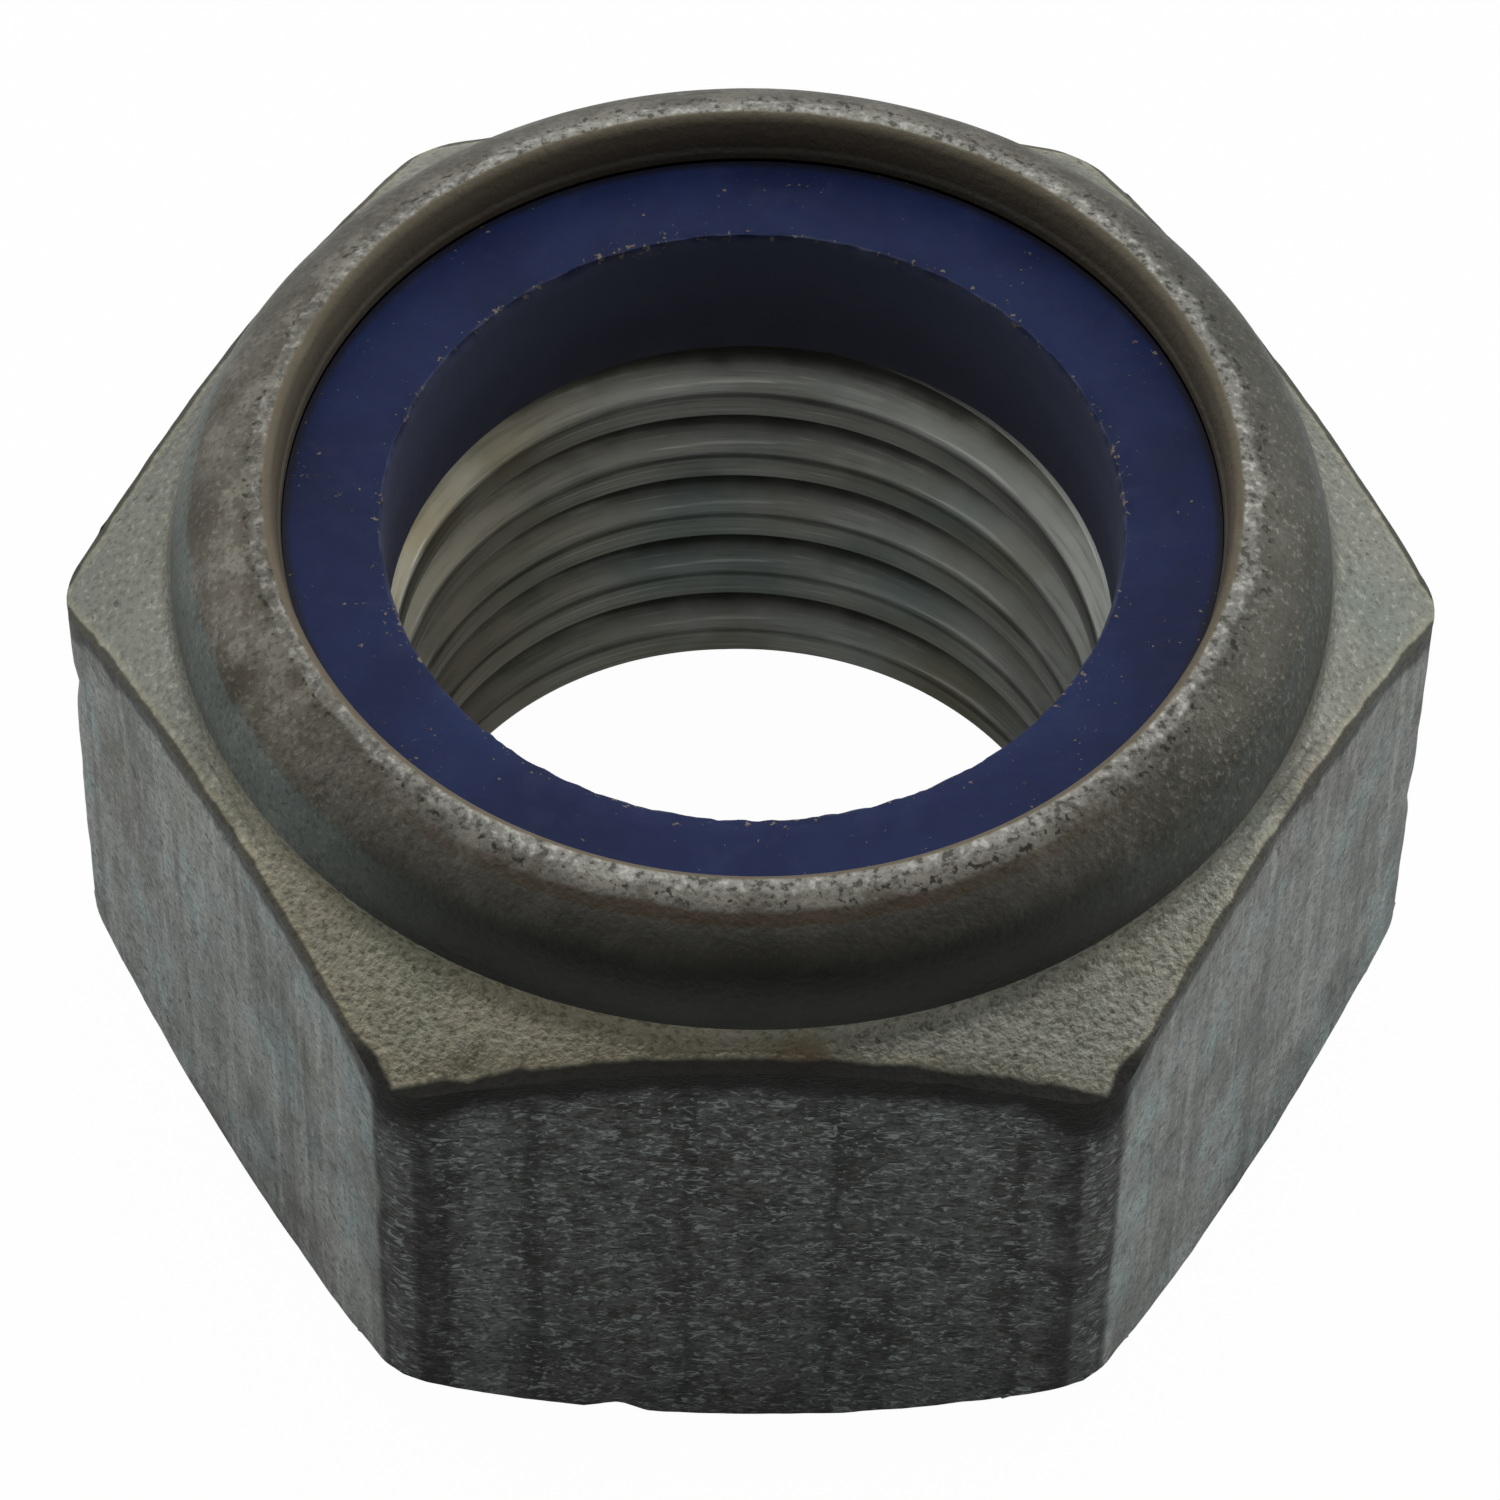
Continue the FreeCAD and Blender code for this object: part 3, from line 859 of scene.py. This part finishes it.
def plated_collar(s):
    """Zinc plate on the rolled collar: smooth and brownish, rubbed bright along its top.

    The rolling tool burnished it after plating and left colours in rings round the nut, so they
    follow the angle on the bend. The bright facets on the rubbed line are painted highlights on that
    burnished metal and come from a field 0.22 mm wide, a little too coarse. The side towards -Y, the
    side towards +X and the top towards -X are darkened as painted shade, and light specks low on the
    side are painted glints.
    """
    skin = Skin("zinc_plated_collar", "#4d5350", s)
    tone = skin.patches((2.4, 2.4, 1.6), 5.0, 12.0)
    bend = skin.wandering(skin.bend, 1.8, 6.0, 9.0)
    side = skin.wandering(skin.bend, 2.0, 5.0, 19.0)
    front = skin.add("MapRange", SMOOTH, {
        "Value": skin.y, "From Min": -8.0, "From Max": -13.0, "To Max": 0.75})

    # greenish low on the side, brown-grey above it and grey towards the top, darker to both sides as
    # painted shade: the top towards -X here, the side towards +X below
    skin.paint(tone, 0.3, 0.7, 1.0, "#616864")
    skin.paint(side, 58.0, 54.0, 1.0, "#5a5750")
    skin.paint(bend, 36.0, 22.0, 0.85, "#706e67")
    top = skin.add("MapRange", SMOOTH, {
        "Value": bend, "From Min": 36.0, "From Max": 22.0, "To Max": 0.75})
    skin.paint(skin.x, -5.0, -11.0, top, "#48443c")
    mottle = skin.patches(0.9, 7.0, 30.0)
    skin.paint(mottle, 0.52, 0.6, 0.5, "#49453c")
    skin.paint(mottle, 0.46, 0.38, 0.4, "#7f7c72")
    # the side towards +X is darkened as painted shade
    right = skin.wandering(skin.x, 3.0, 5.0, 5.0)
    skin.paint(right, 5.0, 12.0, 0.75, "#3a3b36")
    skin.passivate(0.12)
    for centre, reach in (
        ((-13.3, -0.6, 18.6), 1.3), ((-12.6, -5.4, 18.3), 1.0), ((12.9, 5.6, 18.2), 1.1),
    ):
        skin.paint(skin.round_spot(centre, 0.8, 1.6), reach, reach * 0.3, 0.6, "#35312a")

    # a greenish ring round the foot of the collar shows best towards -X
    ring = skin.wandering(skin.bend, 1.2, 4.0, 33.0)
    shown = skin.add("MapRange", SMOOTH, {
        "Value": skin.x, "From Min": -3.0, "From Max": -10.0, "To Min": 0.12, "To Max": 0.55})
    skin.paint(ring, 57.0, 59.0, shown, "#5d6663")

    grain = skin.patches(0.16, 3.0, 7.7)
    skin.paint(grain, 0.46, 0.34, 0.5, "#37352f")
    skin.paint(grain, 0.56, 0.68, 0.25, "#8d8b83")

    # light specks low on the side are painted glints
    low_glints = skin.patches(0.2, 3.0, 50.0)
    low = skin.add("MapRange", SMOOTH, {
        "Value": side, "From Min": 42.0, "From Max": 60.0, "To Max": 0.3})
    skin.paint(low_glints, 0.62, 0.7, low, "#8f918a")

    # the side towards -Y is darkened as painted shade, darkest low down, with a bronze ring above the
    # painted shade
    front_shade = skin.add("MapRange", SMOOTH, {
        "Value": bend, "From Min": 31.0, "From Max": 37.0, "To Max": front})
    skin.paint(front_shade, 0.0, 1.0, 0.85, "#4c4c47")
    skin.paint(bend, 46.0, 60.0, front, "#2f312f")
    skin.paint(skin.away(bend, 32.0), 4.5, 2.0, front, "#4b4135")

    # the rubbed line lies further out on the -X side, broken in places, with black grit beside it; it is
    # burnished metal, and its light band and bright facets are also painted highlights
    middle = skin.add("Math", "MULTIPLY_ADD", {0: skin.x, 1: -0.25, 2: 14.0})
    reach = skin.add("Math", "MULTIPLY_ADD", {0: skin.x, 1: 0.3, 2: 7.0})
    off = skin.add("Math", "DIVIDE", {0: skin.away(bend, middle), 1: reach})
    off = skin.wandering(off, 0.9, 1.6, 60.0)
    rubbed = skin.add("MapRange", SMOOTH, {
        "Value": off, "From Min": 1.3, "From Max": 0.7, "To Max": 0.85})
    share = skin.add("MapRange", inputs={
        "Value": skin.x, "From Min": -12.0, "From Max": -5.0, "To Min": 0.5, "To Max": 1.0})
    rubbed = skin.add("Math", "MULTIPLY", {0: rubbed, 1: share})
    gritty = skin.add("MapRange", SMOOTH, {
        "Value": off, "From Min": 2.4, "From Max": 1.4, "To Max": 0.9})
    grit = skin.patches(0.22, 3.0, 70.0)
    skin.paint(grit, 0.54, 0.63, gritty, "#2c2a26")
    skin.paint(rubbed, 0.0, 1.0, 0.6, "#83837d")
    facets = skin.patches(0.22, 4.0, 3.0)
    skin.paint(facets, 0.52, 0.68, rubbed, "#9c9b95")
    skin.paint(facets, 0.47, 0.38, rubbed, "#403f3a")

    # the lip's end face, turned to the axis, is dull and olive, black below, with a pale lower edge, which
    # is a painted highlight where the edge catches the light
    end = skin.wandering(skin.radius, 1.5, 0.08, 14.0)
    lip = skin.add("MapRange", SMOOTH, {
        "Value": end, "From Min": 11.98, "From Max": 11.88, "To Max": 0.9})
    skin.paint(end, 12.0, 11.9, 0.8, "#6a6352")
    soiled = skin.wandering(skin.z, 0.8, 0.3, 24.0)
    skin.paint(soiled, 19.05, 18.8, lip, "#564e41")
    level = skin.wandering(skin.z, 1.2, 0.12, 24.0)
    skin.paint(skin.away(level, 18.42), 0.13, 0.04, lip, "#7d786a")
    dirt = skin.add("MapRange", SMOOTH, {
        "Value": soiled, "From Min": 18.4, "From Max": 19.2, "To Min": 0.35, "To Max": 0.75})
    dirt = skin.add("Math", "MULTIPLY", {0: dirt, 1: lip})

    return skin.close(tone, 0.42, 0.56, [(grain, 1.0, 0.02), (facets, rubbed, 0.03)], dirt, "#625949")


def cut_thread(s):
    """Thinly plated thread, cut with a tap: bright streaks along the turns, roots darkened and dulled as
    painted shade.

    The tap's cut is smooth across a turn and drags out fine lines along it, so the streaks are drawn
    over the helix, 0.11 mm wide.
    """
    skin = Skin("zinc_plated_thread", "#8b8e88", s)

    # height over the helix
    turn = skin.add("Math", "ARCTAN2", {0: skin.y, 1: skin.x})
    rise = skin.add("Math", "MULTIPLY_ADD", {
        0: turn, 1: -s.thread_pitch / (2 * math.pi), 2: skin.z})
    lead = skin.add("Math", "FLOORED_MODULO", {0: rise, 1: s.thread_pitch})
    along = skin.add("CombineXYZ", inputs={"X": skin.x, "Y": skin.y, "Z": lead})

    tone = skin.patches((4.0, 4.0, 2.0), 4.0, 1.0)
    skin.paint(tone, 0.3, 0.7, 1.0, "#abaea8")
    golden = skin.wandering(skin.x, 3.0, 6.0, 2.0)
    skin.paint(golden, -1.0, -7.0, 0.5, "#958a6e")
    skin.passivate(0.5)
    streaks = skin.patches((5.0, 5.0, 0.11), 4.0, 8.0, point=along)
    skin.paint(streaks, 0.46, 0.32, 0.4, "#56554b")
    skin.paint(streaks, 0.58, 0.68, 0.45, "#cfd0c9")
    # the roots are darkened as painted shade
    root = skin.wandering(skin.radius, 1.2, 0.5, 4.0)
    skin.paint(root, 9.15, 9.85, 0.6, "#56564a")

    dirt = skin.add("MapRange", SMOOTH, {
        "Value": root, "From Min": 9.5, "From Max": 10.0, "To Max": 0.5})
    return skin.close(tone, 0.42, 0.56, [(streaks, 1.0, 0.02)], dirt, "#3a382e")


def turned_bearing(s):
    """Zinc plate on the faced bearing side: flat and grey, with the lathe's rings 0.18 mm apart."""
    skin = Skin("zinc_plated_bearing", "#6f706b", s)
    tone = skin.patches(3.0, 5.0, 2.2)
    skin.paint(tone, 0.3, 0.7, 1.0, "#8e8e87")
    skin.passivate(0.4)
    phase = skin.add("Math", "MULTIPLY", {
        0: skin.radius, 1: 2 * math.pi / 0.18})
    rings = skin.add("Math", "SINE", {0: phase})
    skin.paint(rings, 0.2, 1.0, 0.3, "#a3a39b")
    scuff = skin.patches(1.4, 6.0, 13.0)
    dirt = skin.add("MapRange", SMOOTH, {
        "Value": scuff, "From Min": 0.56, "From Max": 0.68, "To Max": 0.7})
    return skin.close(tone, 0.45, 0.45, [(rings, 1.0, 0.006)], dirt, "#33302a")


def moulded_nylon(s):
    """Nylon 6, moulded and dyed dark blue: waxy, with a soft sheen and pale dust caught on it.

    The bolt's thread has rubbed the wall of the bore greyer, and dust sits thickest near its rim.
    """
    skin = Skin("moulded_nylon", "#0f1a3f", s)
    tone = skin.patches((4.0, 4.0, 3.0), 4.0)
    skin.paint(tone, 0.35, 0.65, 1.0, "#15234c")
    haze = skin.patches(1.2, 6.0, 15.0)
    skin.paint(haze, 0.5, 0.7, 0.35, "#2c3350")
    wall = skin.wandering(skin.radius, 1.2, 0.16, 7.0)
    skin.paint(wall, 9.2, 9.08, 0.8, "#4b4f62")
    # darker towards the bottom of the bore, as painted shade
    skin.paint(skin.z, 16.6, 14.6, 0.3, "#241f2c")

    # painted shadow fills the gap under the lip
    skin.paint(wall, 11.25, 11.45, 0.85, "#14131a")

    # dust lies in clusters of grains up to 0.18 mm wide, and along the rim of the bore
    grains = skin.patches(0.18, 3.0, 4.0)
    cluster = skin.patches(2.0, 3.0, 33.0)
    near_rim = skin.add("MapRange", SMOOTH, {
        "Value": skin.radius, "From Min": 9.6, "From Max": 9.1, "To Max": 0.1})
    height = skin.add("MapRange", SMOOTH, {
        "Value": skin.z, "From Min": 17.4, "From Max": 17.9, "To Min": -0.3, "To Max": 0.0})
    amount = skin.add("Math", "MULTIPLY_ADD", {0: cluster, 1: 0.35, 2: grains})
    amount = skin.add("Math", "ADD", {0: amount, 1: near_rim})
    amount = skin.add("Math", "ADD", {0: amount, 1: height})
    specks = skin.add("MapRange", SMOOTH, {
        "Value": amount, "From Min": 0.86, "From Max": 0.92, "To Max": 0.75})
    skin.colour = skin.add("Mix", {"data_type": "RGBA"}, {
        0: specks, 6: skin.colour, 7: linear("#7d746a")}, 2)

    fine = skin.patches(0.25, 4.0, 6.0)
    relief = [(fine, 1.0, 0.01), (specks, 1.0, 0.03)]
    return skin.close(haze, 0.44, 0.56, relief, fixed={"Specular IOR Level": 0.12, "IOR": 1.53})


def floor_material(colour):
    """Matt white card, which looks bright to the camera and dimmer to what it lights."""
    material = new_material("white_card")
    tree = material.node_tree
    seen, mirrored = [
        add_node(tree, "Math", "MULTIPLY", {
            0: add_node(tree, "LightPath", output=ray), 1: share})
        for ray, share in (("Is Camera Ray", 0.98), ("Is Glossy Ray", 0.1))
    ]
    bright = add_node(tree, "Math", "ADD", {0: seen, 1: mirrored})
    card = add_node(tree, "BsdfDiffuse", inputs={"Color": linear(colour)})
    white = add_node(tree, "Emission", inputs={"Color": linear("#ffffff"), "Strength": 1.0})
    mix = add_node(tree, "MixShader", inputs={0: bright, 1: card, 2: white})
    add_node(tree, "OutputMaterial", inputs={"Surface": mix})
    return material


def studio_world():
    """White surroundings, dark on the camera's side and brighter behind the nut."""
    world = bpy.data.worlds.new("studio")
    bpy.context.scene.world = world
    world.use_nodes = True
    tree = world.node_tree
    tree.nodes.clear()
    direction = add_node(tree, "TexCoord", output="Generated")
    depth = add_node(tree, "SeparateXYZ", inputs={0: direction}, output="Y")
    near = add_node(tree, "MapRange", SMOOTH, {
        "Value": depth, "From Min": -0.8, "From Max": -0.4, "To Min": 0.04, "To Max": 0.52})
    far = add_node(tree, "MapRange", inputs={
        "Value": depth, "From Min": -0.4, "From Max": 0.9, "To Max": 0.4})
    shade = add_node(tree, "Math", "ADD", {0: near, 1: far})
    glossy = add_node(tree, "LightPath", output="Is Glossy Ray")
    level = add_node(tree, "Math", "MULTIPLY_ADD", {0: glossy, 1: 0.25, 2: 0.75})
    studio = add_node(tree, "Math", "MULTIPLY", {0: shade, 1: level})
    for ray in ("Is Camera Ray", "Is Transmission Ray"):
        seen = add_node(tree, "LightPath", output=ray)
        studio = add_node(tree, "Math", "MAXIMUM", {0: studio, 1: seen})
    light = add_node(tree, "Background", inputs={"Color": linear("#ffffff"), "Strength": studio})
    add_node(tree, "OutputWorld", inputs={"Surface": light})


def add_soft_light(name, place, side, power):
    """A square soft box that faces the nut."""
    bpy.ops.object.light_add(type="AREA", location=place)
    lamp = bpy.context.object
    lamp.name = name
    lamp.data.shape = "SQUARE"
    lamp.data.size = side
    lamp.data.energy = power
    lamp.rotation_euler = (-Vector(place)).to_track_quat("-Z", "Y").to_euler()


class LOCKNUT_OT_stage(bpy.types.Operator):
    """Set the camera, the floor and the soft light"""

    bl_idname = "locknut.stage"
    bl_label = "Stage"
    bl_options = {"REGISTER", "UNDO"}

    def execute(self, context):
        stage = context.scene.lock_nut_stage
        bpy.ops.object.select_all(action="DESELECT")
        bpy.ops.mesh.primitive_plane_add(size=4)
        floor = context.object
        floor.name = "floor"
        floor.data.materials.append(floor_material(stage.floor_colour))

        out = Vector((
            math.sin(stage.azimuth) * math.cos(stage.elevation),
            -math.cos(stage.azimuth) * math.cos(stage.elevation),
            math.sin(stage.elevation)))
        right = Vector((math.cos(stage.azimuth), math.sin(stage.azimuth), 0))
        up = out.cross(right)
        tilt = Matrix.Rotation(-stage.roll, 3, out)
        right = tilt @ right
        up = tilt @ up
        aim = Vector((0, 0, stage.aim_height)) - right * stage.slide[0] - up * stage.slide[1]
        bpy.ops.object.camera_add(location=aim + out * stage.distance)
        camera = context.object
        camera.matrix_world = Matrix.Translation(aim + out * stage.distance) @ Matrix(
            (right, up, out)).transposed().to_4x4()
        camera.data.sensor_width = 36
        camera.data.lens = stage.lens
        camera.data.clip_start = 0.01
        context.scene.camera = camera

        add_soft_light("back_light", (0, 0.42, 0.3), 0.5, 0.6)
        add_soft_light("left_light", (-0.42, 0.2, 0.16), 0.4, 0.65)
        add_soft_light("right_light", (0.42, 0.2, 0.16), 0.4, 1.1)
        add_soft_light("top_light", (0, 0.06, 0.5), 0.3, 0.5)
        studio_world()
        context.scene.view_settings.view_transform = "Standard"
        return {"FINISHED"}


class LOCKNUT_PT_panel(bpy.types.Panel):
    """Sidebar panel of the lock nut"""

    bl_idname = "LOCKNUT_PT_panel"
    bl_label = "Lock Nut"
    bl_space_type = "VIEW_3D"
    bl_region_type = "UI"
    bl_category = "Lock Nut"

    def draw(self, context):
        layout = self.layout
        for operator in OPERATORS:
            layout.operator(operator.bl_idname)
        for sheet in (context.scene.lock_nut_sizes, context.scene.lock_nut_stage):
            for name in sheet.__annotations__:
                layout.prop(sheet, name)


OPERATORS = (LOCKNUT_OT_stage, LOCKNUT_OT_body, LOCKNUT_OT_ring)
CLASSES = (LockNutSizes, LockNutStage) + OPERATORS + (LOCKNUT_PT_panel,)


def register():
    for item in CLASSES:
        bpy.utils.register_class(item)
    bpy.types.Scene.lock_nut_sizes = PointerProperty(type=LockNutSizes)
    bpy.types.Scene.lock_nut_stage = PointerProperty(type=LockNutStage)


def unregister():
    del bpy.types.Scene.lock_nut_stage
    del bpy.types.Scene.lock_nut_sizes
    for item in reversed(CLASSES):
        bpy.utils.unregister_class(item)


def main():
    register()
    bpy.ops.locknut.stage()
    bpy.ops.locknut.body()
    bpy.ops.locknut.ring()


if __name__ == "__main__":
    main()
